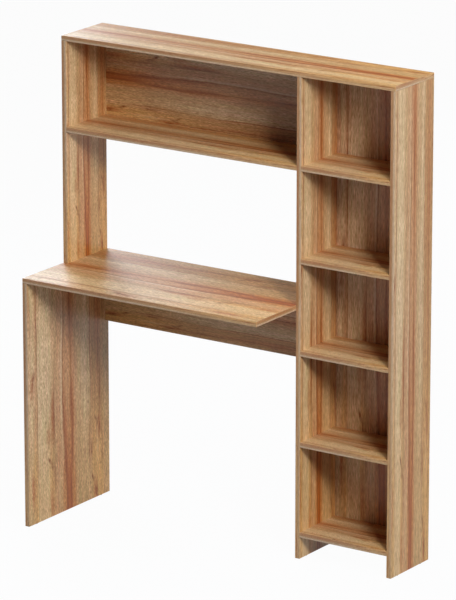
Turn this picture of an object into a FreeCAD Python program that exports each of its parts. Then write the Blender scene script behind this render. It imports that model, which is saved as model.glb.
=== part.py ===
"""Student desk of melamine-faced board, with an open bookcase on its right and a hutch over its rear edge.

X runs to the right, Y to the rear and Z up. The origin is on the floor under the middle of the whole desk.
All lengths are in millimetres.
"""
import FreeCAD
import Part
import Sketcher
import os

# Driving dimensions: alias, value, what it measures
SIZES = (
    ("desk_length", 800, "desktop, from its left end to the bookcase"),
    ("desk_depth", 400, "desktop and left leg, from front to rear"),
    ("desk_height", 745, "floor to the upper face of the desktop"),
    ("case_width", 320, "bookcase over both sides"),
    ("case_depth", 200, "bookcase and hutch, from front to rear"),
    ("compartment_height", 252, "clear height between two bookcase shelves"),
    ("base_gap", 65, "floor to the underside of the lowest shelf"),
    ("modesty_height", 200, "rail under the rear of the desktop"),
    ("board", 15, "thickness of every board"),
    ("hutch_sheet", 3, "thickness of the hutch's back sheet"),
    ("hutch_sheet_margin", 1, "back sheet set in from the edges that it is nailed to"),
    ("edging", 2, "thickness of the edge band"),
    ("edging_round", 1.2, "radius of the edge band's outer corners"),
    ("cam_radius", 7.5, "bore for a cam lock"),
    ("cam_clearance", 0.1, "play round a cam lock in its bore"),
    ("cam_floor", 2.5, "board left under a cam lock"),
    ("cam_sink", 0.3, "cam lock's face below the board's face"),
    ("cam_setback", 24, "end of a board to the middle of its cam lock"),
    ("cam_lip", 3, "middle of a cam lock to the lip that holds the bolt's head"),
    ("cam_slot_length", 9, "arm of the screwdriver cross in a cam lock"),
    ("cam_slot_width", 1.8, "width of that cross"),
    ("cam_slot_depth", 2, "depth of that cross"),
    ("bolt_thread_radius", 2.5, "hole for a cam bolt's thread"),
    ("bolt_thread_clearance", 0.05, "play round the thread"),
    ("bolt_cover", 4, "board left past a thread hole"),
    ("bolt_tip_gap", 0.5, "free depth past the thread's tip"),
    ("bolt_hole_radius", 4, "hole along a board's end for the bolt"),
    ("bolt_collar_radius", 3.6, "collar that seats on the face of the other board"),
    ("bolt_collar_length", 2, "thickness of that collar"),
    ("bolt_shank_radius", 3, "plain part of a cam bolt"),
    ("bolt_neck_radius", 1.8, "neck behind the bolt's head"),
    ("bolt_head_radius", 2.8, "head held by the cam lock"),
    ("bolt_head_length", 3.5, "length of that head"),
    ("bolt_head_clearance", 0.3, "play round head and neck inside the cam lock"),
    ("dowel_radius", 4, "wooden dowel"),
    ("dowel_length", 30, "wooden dowel"),
    ("dowel_chamfer", 1, "bevel at both ends of a dowel"),
    ("dowel_clearance", 0.05, "play round a dowel"),
    ("dowel_cover", 4, "board left past a dowel hole in a face"),
    ("dowel_end_gap", 0.5, "free depth past each end of a dowel"),
    ("screw_length", 40, "screw through the bookcase back"),
    ("screw_radius", 1.75, "shank of that screw"),
    ("screw_head_radius", 3.5, "countersunk head of that screw"),
    ("screw_head_height", 2.2, "depth of that head"),
    ("screw_tip", 4, "length of the screw's point"),
    ("screw_tip_radius", 0.35, "blunt end of the screw's point"),
    ("screw_slot_length", 4, "arm of the screw's cross"),
    ("screw_slot_width", 0.9, "width of the screw's cross"),
    ("screw_slot_depth", 1.2, "depth of the screw's cross"),
    ("screw_clearance", 0.1, "play round a screw"),
    ("nail_length", 18, "nail through the hutch's back sheet"),
    ("nail_radius", 0.8, "shank of that nail"),
    ("nail_head_radius", 1.8, "head of that nail"),
    ("nail_head_height", 0.8, "head of that nail, flush with the sheet"),
    ("nail_tip", 2, "length of any nail's point"),
    ("nail_tip_radius", 0.2, "blunt end of any nail's point"),
    ("nail_clearance", 0.05, "play round any nail"),
    ("glide_radius", 7, "plastic pad under a floor-standing board"),
    ("glide_height", 1.5, "floor to the lower edge of such a board"),
    ("glide_chamfer", 0.5, "bevel round the foot of the pad"),
    ("glide_nail_length", 14, "floor to the tip of the pad's nail"),
    ("glide_nail_radius", 1, "shank of the pad's nail"),
    ("glide_nail_head_radius", 2.5, "head of the pad's nail"),
    ("glide_nail_head_height", 0.6, "head of the pad's nail"),
    ("glide_nail_sink", 0.4, "floor to the head of the pad's nail"),
    ("desk_inset", 60, "leg's front cam lock from the front of the desk"),
    ("leg_rear_inset", 65, "leg's rear cam lock from the rear of the desk"),
    ("shelf_inset", 32, "cam locks of shelves and uprights from front and rear"),
    ("hutch_inset", 60, "cam locks of hutch shelf and desktop end from front and rear"),
    ("modesty_inset", 35, "modesty panel's cam locks from its upper and lower edge"),
    ("modesty_dowel_inset", 150, "modesty panel's upper dowels from its ends"),
    ("back_dowel_inset", 60, "bookcase back's dowels from its long edges"),
    ("back_screw_inset", 70, "bookcase back's screws from its long edges"),
    ("nail_inset", 40, "outermost nails of the back sheet from its corner"),
    ("glide_inset", 40, "glides from the front and rear of their board"),
    ("cut_past", 1, "how far a cutter runs out past a face"),
)
COMPARTMENTS = 5
UPRIGHT_NAIL_COUNT = 4
SHELF_NAIL_COUNT = 6
QUARTER_TURN = 90
TOUCHING = 0.01

EAST = FreeCAD.Vector(1, 0, 0)
WEST = FreeCAD.Vector(-1, 0, 0)
BACKWARD = FreeCAD.Vector(0, 1, 0)
FORWARD = FreeCAD.Vector(0, -1, 0)
UP = FreeCAD.Vector(0, 0, 1)
DOWN = FreeCAD.Vector(0, 0, -1)

# Planes that the boards share, as expressions on the sheet
LEFT = "(-(Size.desk_length + Size.case_width) / 2)"
RIGHT = "((Size.desk_length + Size.case_width) / 2)"
CASE_LEFT = f"({LEFT} + Size.desk_length)"
FRONT = "(-Size.desk_depth / 2)"
REAR = "(Size.desk_depth / 2)"
CASE_FRONT = f"({REAR} - Size.case_depth)"
HUTCH_REAR = f"({REAR} - Size.hutch_sheet)"
BACK_FACE = f"({REAR} - Size.board)"
FOOT = "Size.glide_height"
DESK_TOP = "Size.desk_height"
DESK_UNDER = "(Size.desk_height - Size.board)"
MODESTY_UNDER = f"({DESK_UNDER} - Size.modesty_height)"


def shelf_under(level):
    """Underside of a bookcase shelf, counted from the lowest one."""
    return f"(Size.base_gap + {level} * (Size.compartment_height + Size.board))"


BOTTOM_TOP = f"({shelf_under(0)} + Size.board)"
HUTCH_UNDER = shelf_under(COMPARTMENTS - 1)
TOP_UNDER = shelf_under(COMPARTMENTS)

# Where the two cam locks of a depth sit, from front and rear
CASE_PAIR = (f"{CASE_FRONT} + Size.shelf_inset", f"{REAR} - Size.shelf_inset")
SHELF_PAIR = (f"{CASE_FRONT} + Size.shelf_inset", f"{BACK_FACE} - Size.shelf_inset")
UPRIGHT_PAIR = (f"{CASE_FRONT} + Size.shelf_inset", f"{HUTCH_REAR} - Size.shelf_inset")
HUTCH_PAIR = (f"{CASE_FRONT} + Size.hutch_inset", f"{HUTCH_REAR} - Size.hutch_inset")
DESK_END_PAIR = (f"{CASE_FRONT} + Size.hutch_inset", f"{REAR} - Size.hutch_inset")
LEG_PAIR = (f"{FRONT} + Size.desk_inset", f"{REAR} - Size.leg_rear_inset")
LEG_DOWEL = f"({FRONT} + {CASE_FRONT}) / 2"
CASE_MIDDLE = f"({CASE_FRONT} + {REAR}) / 2"
HUTCH_MIDDLE = f"({CASE_FRONT} + {HUTCH_REAR}) / 2"

# Points of a fitting's own frame: the joint, and the middle of its cam lock
JOINT = ("0", "0", "0")
CAM_MIDDLE = ("0", "0", "Size.cam_setback")

doc = FreeCAD.newDocument("student_desk")
nodes = []
drilling = {}
fasteners = {}


def make_sheet():
    """The sheet of driving dimensions."""
    sheet = doc.addObject("Spreadsheet::Sheet", "Size")
    for row, (alias, value, note) in enumerate(SIZES, start=1):
        sheet.set(f"A{row}", note)
        sheet.set(f"B{row}", str(value))
        sheet.setAlias(f"B{row}", alias)
    doc.recompute()


def bind(thing, **expressions):
    """Ties properties of an object to expressions on the sheet."""
    for name, expression in expressions.items():
        thing.setExpression(name, expression)
    return thing


def place(thing, x="0", y="0", z="0", rotation=None):
    """Puts an object at a place that follows the sheet, turned by a fixed rotation."""
    if rotation is not None:
        thing.Placement = FreeCAD.Placement(FreeCAD.Vector(), rotation)
    for axis, expression in zip("xyz", (x, y, z)):
        thing.setExpression(f"Placement.Base.{axis}", expression)
    return thing


def turned_to(z_way, x_way):
    """Rotation that takes Z and X of a fitting to the given directions."""
    return FreeCAD.Rotation(x_way, z_way.cross(x_way), z_way, "ZXY")


def keep(thing, label):
    """Notes an object as a finished sub-part."""
    thing.Label = label
    nodes.append(thing)
    return thing


def box(name, x_span, y_span, z_span):
    """Block between two planes on each axis."""
    block = doc.addObject("Part::Box", name)
    bind(block, Length=f"{x_span[1]} - ({x_span[0]})", Width=f"{y_span[1]} - ({y_span[0]})",
         Height=f"{z_span[1]} - ({z_span[0]})")
    return place(block, x_span[0], y_span[0], z_span[0])


def rod(name, radius, start, end, way=UP, point=JOINT, far_radius=None):
    """Round step along a direction, with its ends measured from a point. A far radius makes it a cone."""
    if far_radius is None:
        step = bind(doc.addObject("Part::Cylinder", name), Radius=radius)
    else:
        step = bind(doc.addObject("Part::Cone", name), Radius1=radius, Radius2=far_radius)
    bind(step, Height=f"{end} - ({start})")
    base = [f"{origin} + ({start}) * {component}" for origin, component in zip(point, way)]
    return place(step, *base, rotation=FreeCAD.Rotation(UP, way))


def fused(name, pieces):
    """One solid from several that touch."""
    whole = doc.addObject("Part::MultiFuse", name)
    whole.Shapes = pieces
    whole.Refine = True
    return whole


def turned(name, *steps):
    """Turned piece: steps of (radius, start, end) or (radius, start, end, far radius) along Z."""
    rods = []
    for number, step in enumerate(steps, start=1):
        radius, start, end = step[:3]
        far_radius = step[3] if len(step) == 4 else None
        rods.append(rod(f"{name}_step_{number}", radius, start, end, far_radius=far_radius))
    return fused(name, rods) if len(rods) > 1 else rods[0]


def cut(name, base, tools):
    """A piece with several tools taken out of it."""
    tool = tools[0]
    if len(tools) > 1:
        tool = doc.addObject("Part::Compound", f"{name}_tools")
        tool.Links = tools
    piece = doc.addObject("Part::Cut", name)
    piece.Base = base
    piece.Tool = tool
    return piece


def cross(name, length, width, way_in, span):
    """Two crossing slots for a screwdriver, square to X or Z, over a span of that axis."""
    long_side = (f"-Size.{length} / 2", f"Size.{length} / 2")
    short_side = (f"-Size.{width} / 2", f"Size.{width} / 2")
    slots = []
    for number, (first, second) in enumerate(((long_side, short_side), (short_side, long_side)), start=1):
        sides = (span, first, second) if way_in == "x" else (first, second, span)
        slots.append(box(f"{name}_{number}", *sides))
    return fused(name, slots)


def make_cam_bolt():
    """Steel bolt: thread below its seat at Z = 0, then collar, shank, neck and head."""
    neck_start = "Size.cam_setback - Size.cam_radius"
    head_start = "Size.cam_setback - Size.cam_lip"
    return turned(
        "cam_bolt",
        ("Size.bolt_thread_radius - Size.bolt_thread_clearance",
         "Size.bolt_cover + Size.bolt_tip_gap - Size.board", "0"),
        ("Size.bolt_collar_radius", "0", "Size.bolt_collar_length"),
        ("Size.bolt_shank_radius", "Size.bolt_collar_length", neck_start),
        ("Size.bolt_neck_radius", neck_start, head_start),
        ("Size.bolt_head_radius", head_start, f"{head_start} + Size.bolt_head_length"),
    )


def make_cam_lock():
    """Die-cast disc whose slotted wall has closed behind the bolt's head. Its face looks along X."""
    seat = "Size.cam_floor - Size.board / 2"
    face = "Size.board / 2 - Size.cam_sink"
    outside = "Size.cam_radius + Size.cut_past"
    head_room = "Size.bolt_head_radius + Size.bolt_head_clearance"
    neck_room = "Size.bolt_neck_radius + Size.bolt_head_clearance"
    head_end = "Size.bolt_head_length + Size.bolt_head_clearance - Size.cam_lip"
    disc = rod("cam_disc", "Size.cam_radius - Size.cam_clearance", seat, face, EAST, CAM_MIDDLE)
    pocket = rod("cam_pocket", head_room, "-Size.cam_lip", head_end, UP, CAM_MIDDLE)
    neck = rod("cam_neck", neck_room, "Size.cam_lip", outside, DOWN, CAM_MIDDLE)
    entry = rod("cam_entry", head_room, "0", outside, BACKWARD, CAM_MIDDLE)
    # Quarter slot in the wall, through which the neck travels while the disc turns
    travel = rod("cam_travel", outside, f"-({neck_room})", neck_room, EAST, CAM_MIDDLE)
    travel.Angle = QUARTER_TURN
    travel.Placement.Rotation = turned_to(EAST, DOWN)
    driver = cross("cam_cross", "cam_slot_length", "cam_slot_width", "x",
                   (f"{face} - Size.cam_slot_depth", f"{face} + Size.cut_past"))
    place(driver, *CAM_MIDDLE)
    hollow = fused("cam_hollow", [pocket, neck, entry, travel])
    return cut("cam_lock", disc, [hollow, driver])


def make_cam_cutter():
    """What a cam joint takes out of its two boards: thread hole, bolt hole and the bore for the cam lock."""
    thread = rod("cam_cutter_thread", "Size.bolt_thread_radius", "Size.bolt_cover - Size.board", "0")
    shank = rod("cam_cutter_shank", "Size.bolt_hole_radius", "0", "Size.cam_setback")
    bore = rod("cam_cutter_bore", "Size.cam_radius", "Size.cam_floor - Size.board / 2",
               "Size.board / 2 + Size.cut_past", EAST, CAM_MIDDLE)
    return fused("cam_cutter", [thread, shank, bore])


def make_dowel():
    """Bevelled wooden dowel across a joint at Z = 0, and the hole for it."""
    bottom = "Size.dowel_cover + Size.dowel_end_gap - Size.board"
    top = f"{bottom} + Size.dowel_length"
    narrow = "Size.dowel_radius - Size.dowel_chamfer"
    dowel = turned(
        "dowel",
        (narrow, bottom, f"{bottom} + Size.dowel_chamfer", "Size.dowel_radius"),
        ("Size.dowel_radius", f"{bottom} + Size.dowel_chamfer", f"{top} - Size.dowel_chamfer"),
        ("Size.dowel_radius", f"{top} - Size.dowel_chamfer", top, narrow),
    )
    room = "Size.dowel_radius + Size.dowel_clearance"
    hole = turned(
        "dowel_cutter",
        (room, f"{bottom} - Size.dowel_end_gap", "0"),
        (room, "0", f"{top} + Size.dowel_end_gap"),
    )
    return dowel, hole


def make_screw():
    """Countersunk screw driven along Z from a face at Z = 0, and the hole for it."""
    tip_start = "Size.screw_length - Size.screw_tip"
    room = "Size.screw_radius + Size.screw_clearance"
    body = turned(
        "screw_body",
        ("Size.screw_head_radius", "0", "Size.screw_head_height", "Size.screw_radius"),
        ("Size.screw_radius", "Size.screw_head_height", tip_start),
        ("Size.screw_radius", tip_start, "Size.screw_length", "Size.screw_tip_radius"),
    )
    driver = cross("screw_cross", "screw_slot_length", "screw_slot_width", "z",
                   ("-Size.cut_past", "Size.screw_slot_depth"))
    hole = turned(
        "screw_cutter",
        ("Size.screw_head_radius + Size.screw_clearance", "0", "Size.screw_head_height", room),
        (room, "Size.screw_head_height", "Size.screw_length + Size.screw_clearance"),
    )
    return cut("screw", body, [driver]), hole


def make_nail():
    """Flat-headed nail driven along Z from a face at Z = 0, and the hole for it."""
    tip_start = "Size.nail_length - Size.nail_tip"
    room = "Size.nail_radius + Size.nail_clearance"
    nail = turned(
        "nail",
        ("Size.nail_head_radius", "0", "Size.nail_head_height"),
        ("Size.nail_radius", "Size.nail_head_height", tip_start),
        ("Size.nail_radius", tip_start, "Size.nail_length", "Size.nail_tip_radius"),
    )
    hole = turned(
        "nail_cutter",
        ("Size.nail_head_radius + Size.nail_clearance", "0", "Size.nail_head_height"),
        (room, "Size.nail_head_height", "Size.nail_length + Size.nail_clearance"),
    )
    return nail, hole


def make_glide():
    """Bevelled plastic pad on the floor, the nail that holds it, and the hole for that nail in the board."""
    shoulder = "Size.glide_nail_sink + Size.glide_nail_head_height"
    shank_room = "Size.glide_nail_radius + Size.nail_clearance"
    tip_start = "Size.glide_nail_length - Size.nail_tip"
    disc = turned(
        "glide_disc",
        ("Size.glide_radius - Size.glide_chamfer", "0", "Size.glide_chamfer", "Size.glide_radius"),
        ("Size.glide_radius", "Size.glide_chamfer", "Size.glide_height"),
    )
    eye = turned(
        "glide_eye",
        ("Size.glide_nail_head_radius + Size.nail_clearance", "-Size.cut_past", shoulder),
        (shank_room, shoulder, "Size.glide_height + Size.cut_past"),
    )
    nail = turned(
        "glide_nail",
        ("Size.glide_nail_head_radius", "Size.glide_nail_sink", shoulder),
        ("Size.glide_nail_radius", shoulder, tip_start),
        ("Size.glide_nail_radius", tip_start, "Size.glide_nail_length", "Size.nail_tip_radius"),
    )
    hole = rod("glide_cutter", shank_room, "0", "Size.glide_nail_length + Size.nail_clearance")
    return cut("glide_pad", disc, [eye]), nail, hole


def copy_at(original, group, spot, rotation):
    """One more copy of a fitting, in the group that it belongs to."""
    copies = fasteners.setdefault(group, [])
    copy = doc.addObject("App::Link", f"{group}_{len(copies) + 1}")
    copy.LinkedObject = original
    place(copy, *spot, rotation=rotation)
    copies.append(copy)
    return copy


def drill(boards, cutter, spot, rotation):
    """Takes a fitting's cutter out of every board that the fitting passes through."""
    tool = copy_at(cutter, f"{cutter.Name}s", spot, rotation)
    for board in boards:
        drilling.setdefault(board, []).append(tool)


def cam_joint(boards, spot, into, cam_side):
    """Cam lock and bolt at the end of a board: the way into that board, and the side its cam lock is on."""
    rotation = turned_to(into, cam_side)
    drill(boards, cam_cutter, spot, rotation)
    copy_at(cam_bolt, "cam_bolts", spot, rotation)
    copy_at(cam_lock, "cam_locks", spot, rotation)


def dowel_joint(boards, spot, into):
    """Dowel at the end of a board."""
    rotation = FreeCAD.Rotation(UP, into)
    drill(boards, dowel_cutter, spot, rotation)
    copy_at(dowel, "wooden_dowels", spot, rotation)


def spread(start, end, inset, count):
    """Places of evenly spaced fittings between two planes, the outermost at an inset."""
    step = f"(({end}) - ({start}) - 2 * {inset}) / {count - 1}"
    return [f"{start} + {inset} + {number} * {step}" for number in range(count)]


def shelves():
    """Name, underside and cam lock places of each bookcase shelf, the lowest one last."""
    for number in range(1, COMPARTMENTS):
        yield f"bookcase_shelf_{number}", shelf_under(COMPARTMENTS - number), SHELF_PAIR
    yield "bookcase_bottom", shelf_under(0), CASE_PAIR


def join_desk():
    """Fittings of the leg, the desktop and the modesty panel."""
    leg_middle = f"{LEFT} + Size.board / 2"
    desk_middle = f"{DESK_UNDER} + Size.board / 2"
    modesty_middle = f"{REAR} - Size.board / 2"
    modesty_mid_height = f"({DESK_UNDER} + {MODESTY_UNDER}) / 2"
    end_boards = ("desktop", "desktop_right_edge", "bookcase_left_side")
    for y in LEG_PAIR:
        cam_joint(("left_leg_panel", "desktop"), (leg_middle, y, DESK_UNDER), DOWN, WEST)
    dowel_joint(("left_leg_panel", "desktop"), (leg_middle, LEG_DOWEL, DESK_UNDER), DOWN)
    for y in DESK_END_PAIR:
        cam_joint(end_boards, (CASE_LEFT, y, desk_middle), WEST, DOWN)
    dowel_joint(end_boards, (CASE_LEFT, CASE_MIDDLE, desk_middle), WEST)
    ends = (("left_leg_panel", f"{LEFT} + Size.board", EAST), ("bookcase_left_side", CASE_LEFT, WEST))
    for neighbour, x, into in ends:
        boards = ("modesty_panel", neighbour)
        for z in (f"{DESK_UNDER} - Size.modesty_inset", f"{MODESTY_UNDER} + Size.modesty_inset"):
            cam_joint(boards, (x, modesty_middle, z), into, BACKWARD)
        dowel_joint(boards, (x, modesty_middle, modesty_mid_height), into)
    for x in (f"{LEFT} + Size.board + Size.modesty_dowel_inset", f"{CASE_LEFT} - Size.modesty_dowel_inset"):
        dowel_joint(("modesty_panel", "desktop"), (x, modesty_middle, DESK_UNDER), DOWN)


def join_hutch():
    """Fittings of the left upright, the hutch shelf and the hutch's back sheet."""
    upright_middle = f"{LEFT} + Size.board / 2"
    shelf_middle = f"{HUTCH_UNDER} + Size.board / 2"
    for y in UPRIGHT_PAIR:
        cam_joint(("left_upright", "desktop"), (upright_middle, y, DESK_TOP), UP, WEST)
        cam_joint(("left_upright", "top_panel"), (upright_middle, y, TOP_UNDER), DOWN, WEST)
    dowel_joint(("left_upright", "desktop"), (upright_middle, HUTCH_MIDDLE, DESK_TOP), UP)
    dowel_joint(("left_upright", "top_panel"), (upright_middle, HUTCH_MIDDLE, TOP_UNDER), DOWN)
    ends = (("left_upright", f"{LEFT} + Size.board", EAST), ("bookcase_left_side", CASE_LEFT, WEST))
    for neighbour, x, into in ends:
        for y in HUTCH_PAIR:
            cam_joint(("hutch_shelf", neighbour), (x, y, shelf_middle), into, DOWN)
        dowel_joint(("hutch_shelf", neighbour), (x, HUTCH_MIDDLE, shelf_middle), into)
    spots = []
    for z in spread(HUTCH_UNDER, TOP_UNDER, "Size.nail_inset", UPRIGHT_NAIL_COUNT):
        spots.append(("left_upright", (upright_middle, REAR, z)))
    for x in spread(f"{LEFT} + Size.board", CASE_LEFT, "Size.nail_inset", SHELF_NAIL_COUNT):
        spots.append(("hutch_shelf", (x, REAR, shelf_middle)))
    rotation = FreeCAD.Rotation(UP, FORWARD)
    for neighbour, spot in spots:
        drill(("hutch_back", neighbour), nail_cutter, spot, rotation)
        copy_at(nail, "hutch_back_nails", spot, rotation)


def join_bookcase():
    """Fittings of the bookcase sides, shelves and back."""
    left_inside = f"{CASE_LEFT} + Size.board"
    right_inside = f"{RIGHT} - Size.board"
    for side, x in (("bookcase_left_side", CASE_LEFT), ("bookcase_right_side", right_inside)):
        middle = f"{x} + Size.board / 2"
        for y in CASE_PAIR:
            cam_joint((side, "top_panel"), (middle, y, TOP_UNDER), DOWN, WEST)
        dowel_joint((side, "top_panel"), (middle, CASE_MIDDLE, TOP_UNDER), DOWN)
    screw_turn = FreeCAD.Rotation(UP, FORWARD)
    for shelf, under, pair in shelves():
        middle = f"{under} + Size.board / 2"
        for y in pair:
            cam_joint((shelf, "bookcase_left_side"), (left_inside, y, middle), EAST, DOWN)
            cam_joint((shelf, "bookcase_right_side"), (right_inside, y, middle), WEST, DOWN)
        if shelf == "bookcase_bottom":
            dowel_joint((shelf, "bookcase_left_side"), (left_inside, CASE_MIDDLE, middle), EAST)
            dowel_joint((shelf, "bookcase_right_side"), (right_inside, CASE_MIDDLE, middle), WEST)
            continue
        for x in (f"{left_inside} + Size.back_screw_inset", f"{right_inside} - Size.back_screw_inset"):
            drill(("bookcase_back", shelf), screw_cutter, (x, REAR, middle), screw_turn)
            copy_at(screw, "bookcase_back_screws", (x, REAR, middle), screw_turn)
    back_middle = f"{REAR} - Size.board / 2"
    for x in (f"{left_inside} + Size.back_dowel_inset", f"{right_inside} - Size.back_dowel_inset"):
        dowel_joint(("bookcase_back", "bookcase_bottom"), (x, back_middle, BOTTOM_TOP), UP)
        dowel_joint(("bookcase_back", "top_panel"), (x, back_middle, TOP_UNDER), DOWN)


def add_glides():
    """Two nailed pads under each board that stands on the floor."""
    standing = (
        ("left_leg_panel", LEFT, FRONT),
        ("bookcase_left_side", CASE_LEFT, CASE_FRONT),
        ("bookcase_right_side", f"{RIGHT} - Size.board", CASE_FRONT),
    )
    level = FreeCAD.Rotation()
    for board, x, front in standing:
        for y in (f"{front} + Size.glide_inset", f"{REAR} - Size.glide_inset"):
            spot = (f"{x} + Size.board / 2", y, "0")
            drill((board,), glide_cutter, spot, level)
            copy_at(glide_pad, "glide_pads", spot, level)
            copy_at(glide_nail, "glide_nails", spot, level)


def board(label, x_span, y_span, z_span):
    """Board cut to size and drilled for its fittings."""
    blank = box(f"{label}_blank", x_span, y_span, z_span)
    keep(cut(f"{label}_drilled", blank, drilling[label]), label)


def make_boards():
    """All the boards and the hutch's back sheet."""
    desk_depth = (f"{FRONT} + Size.edging", REAR)
    case_depth = (f"{CASE_FRONT} + Size.edging", REAR)
    hutch_depth = (f"{CASE_FRONT} + Size.edging", HUTCH_REAR)
    back_depth = (BACK_FACE, REAR)
    leg_width = (LEFT, f"{LEFT} + Size.board")
    hutch_width = (f"{LEFT} + Size.board", CASE_LEFT)
    case_inside = (f"{CASE_LEFT} + Size.board", f"{RIGHT} - Size.board")
    board("left_leg_panel", leg_width, desk_depth, (FOOT, DESK_UNDER))
    board("desktop", (f"{LEFT} + Size.edging", f"{CASE_LEFT} - Size.edging"), desk_depth,
          (DESK_UNDER, DESK_TOP))
    board("modesty_panel", hutch_width, back_depth, (f"{MODESTY_UNDER} + Size.edging", DESK_UNDER))
    board("left_upright", leg_width, hutch_depth, (DESK_TOP, TOP_UNDER))
    board("top_panel", (f"{LEFT} + Size.edging", f"{RIGHT} - Size.edging"), case_depth,
          (TOP_UNDER, f"{TOP_UNDER} + Size.board"))
    board("bookcase_left_side", (CASE_LEFT, f"{CASE_LEFT} + Size.board"), case_depth, (FOOT, TOP_UNDER))
    board("bookcase_right_side", (f"{RIGHT} - Size.board", RIGHT), case_depth, (FOOT, TOP_UNDER))
    for shelf, under, pair in shelves():
        depth = case_depth if shelf == "bookcase_bottom" else (case_depth[0], BACK_FACE)
        board(shelf, case_inside, depth, (under, f"{under} + Size.board"))
    board("bookcase_back", case_inside, back_depth, (BOTTOM_TOP, TOP_UNDER))
    board("hutch_shelf", hutch_width, hutch_depth, (HUTCH_UNDER, f"{HUTCH_UNDER} + Size.board"))
    board("hutch_back", (f"{LEFT} + Size.hutch_sheet_margin", CASE_LEFT), (HUTCH_REAR, REAR),
          (f"{HUTCH_UNDER} + Size.hutch_sheet_margin", TOP_UNDER))


def edge_strip(label, start, run, outward, length, round_ends=False):
    """Strip of edge band from a corner along its run. Its outer long edges are rounded, or all round it."""
    body = doc.addObject("PartDesign::Body", f"{label}_strip")
    plane = [feature for feature in body.Origin.OriginFeatures if feature.Role == "YZ_Plane"][0]
    sketch = body.newObject("Sketcher::SketchObject", f"{label}_section")
    sketch.AttachmentSupport = (plane, [""])
    sketch.MapMode = "FlatFace"
    thick = doc.Size.edging
    wide = doc.Size.board
    corners = [FreeCAD.Vector(*corner) for corner in ((0, 0), (thick, 0), (thick, wide), (0, wide))]
    for number, corner in enumerate(corners):
        sketch.addGeometry(Part.LineSegment(corner, corners[(number + 1) % 4]))
        way = "Horizontal" if number % 2 == 0 else "Vertical"
        sketch.addConstraint(Sketcher.Constraint(way, number))
    for number in range(4):
        sketch.addConstraint(Sketcher.Constraint("Coincident", number, 2, (number + 1) % 4, 1))
    sketch.addConstraint(Sketcher.Constraint("Coincident", 0, 1, -1, 1))
    thickness = sketch.addConstraint(Sketcher.Constraint("DistanceX", 0, 1, 0, 2, thick))
    width = sketch.addConstraint(Sketcher.Constraint("DistanceY", 1, 1, 1, 2, wide))
    sketch.setExpression(f"Constraints[{thickness}]", "Size.edging")
    sketch.setExpression(f"Constraints[{width}]", "Size.board")
    pad = bind(body.newObject("PartDesign::Pad", f"{label}_length"), Length=length)
    pad.Profile = sketch
    doc.recompute()
    rounding = body.newObject("PartDesign::Fillet", f"{label}_rounding")
    rounding.Base = (pad, outer_edges(pad.Shape, round_ends))
    bind(rounding, Radius="Size.edging_round")
    body.Tip = rounding
    inward = outward * -1
    return place(body, *start, rotation=FreeCAD.Rotation(run, inward, run.cross(inward), "XYZ"))


def outer_edges(strip, round_ends):
    """Names of a strip's edges to round: the long ones outside, and those of its ends on request."""
    names = []
    for number, edge in enumerate(strip.Edges, start=1):
        span = edge.BoundBox
        outside = span.YMax < TOUCHING
        across_end = span.YLength > TOUCHING
        along_run = span.XLength > TOUCHING
        if (outside and along_run) or (round_ends and (outside or across_end)):
            names.append(f"Edge{number}")
    return names


def make_edging():
    """Edge band on every edge that shows."""
    case_run = "Size.case_depth - Size.edging"
    desk_run = "Size.desk_depth - Size.edging"
    side_run = f"{TOP_UNDER} - {FOOT}"
    hutch_run = "Size.desk_length - Size.board"
    shelf_run = "Size.case_width - 2 * Size.board"
    left_inside = f"{CASE_LEFT} + Size.board"
    right_inside = f"{RIGHT} - Size.board"
    hutch_left = f"{LEFT} + Size.board"
    strips = [
        ("top_panel_left_edge", (LEFT, REAR, TOP_UNDER), FORWARD, WEST, case_run),
        ("top_panel_right_edge", (RIGHT, f"{CASE_FRONT} + Size.edging", TOP_UNDER), BACKWARD, EAST,
         case_run),
        ("desktop_left_edge", (LEFT, REAR, DESK_UNDER), FORWARD, WEST, desk_run),
        ("left_leg_front_edge", (LEFT, FRONT, DESK_UNDER), DOWN, FORWARD, f"{DESK_UNDER} - {FOOT}"),
        ("left_upright_front_edge", (LEFT, CASE_FRONT, TOP_UNDER), DOWN, FORWARD,
         f"{TOP_UNDER} - {DESK_TOP}"),
        ("bookcase_left_front_edge", (CASE_LEFT, CASE_FRONT, TOP_UNDER), DOWN, FORWARD, side_run),
        ("bookcase_right_front_edge", (right_inside, CASE_FRONT, TOP_UNDER), DOWN, FORWARD, side_run),
        ("hutch_shelf_front_edge", (hutch_left, CASE_FRONT, HUTCH_UNDER), EAST, FORWARD, hutch_run),
        ("modesty_lower_edge", (CASE_LEFT, BACK_FACE, MODESTY_UNDER), WEST, DOWN, hutch_run),
    ]
    for shelf, under, pair in shelves():
        strips.append((f"{shelf}_front_edge", (left_inside, CASE_FRONT, under), EAST, FORWARD, shelf_run))
    for label, start, run, outward, length in strips:
        keep(edge_strip(label, start, run, outward, length), label)
    for label, start, length in (
        ("top_panel_front_edge", (LEFT, CASE_FRONT, TOP_UNDER), "Size.desk_length + Size.case_width"),
        ("desktop_front_edge", (LEFT, FRONT, DESK_UNDER), "Size.desk_length"),
    ):
        keep(edge_strip(label, start, EAST, FORWARD, length, round_ends=True), label)
    # This strip lies between the desktop and the bookcase, so their fittings pass through it
    label = "desktop_right_edge"
    strip = edge_strip(label, (CASE_LEFT, f"{FRONT} + Size.edging", DESK_UNDER), BACKWARD, EAST, desk_run)
    keep(cut(f"{label}_drilled", strip, drilling[label]), label)


def group_fasteners():
    """One sub-part for each kind of fitting, as a group of separate solids."""
    kinds = ("cam_locks", "cam_bolts", "wooden_dowels", "bookcase_back_screws", "hutch_back_nails",
             "glide_pads", "glide_nails")
    for kind in kinds:
        group = doc.addObject("Part::Compound", f"{kind}_group")
        group.Links = fasteners[kind]
        keep(group, kind)


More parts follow.
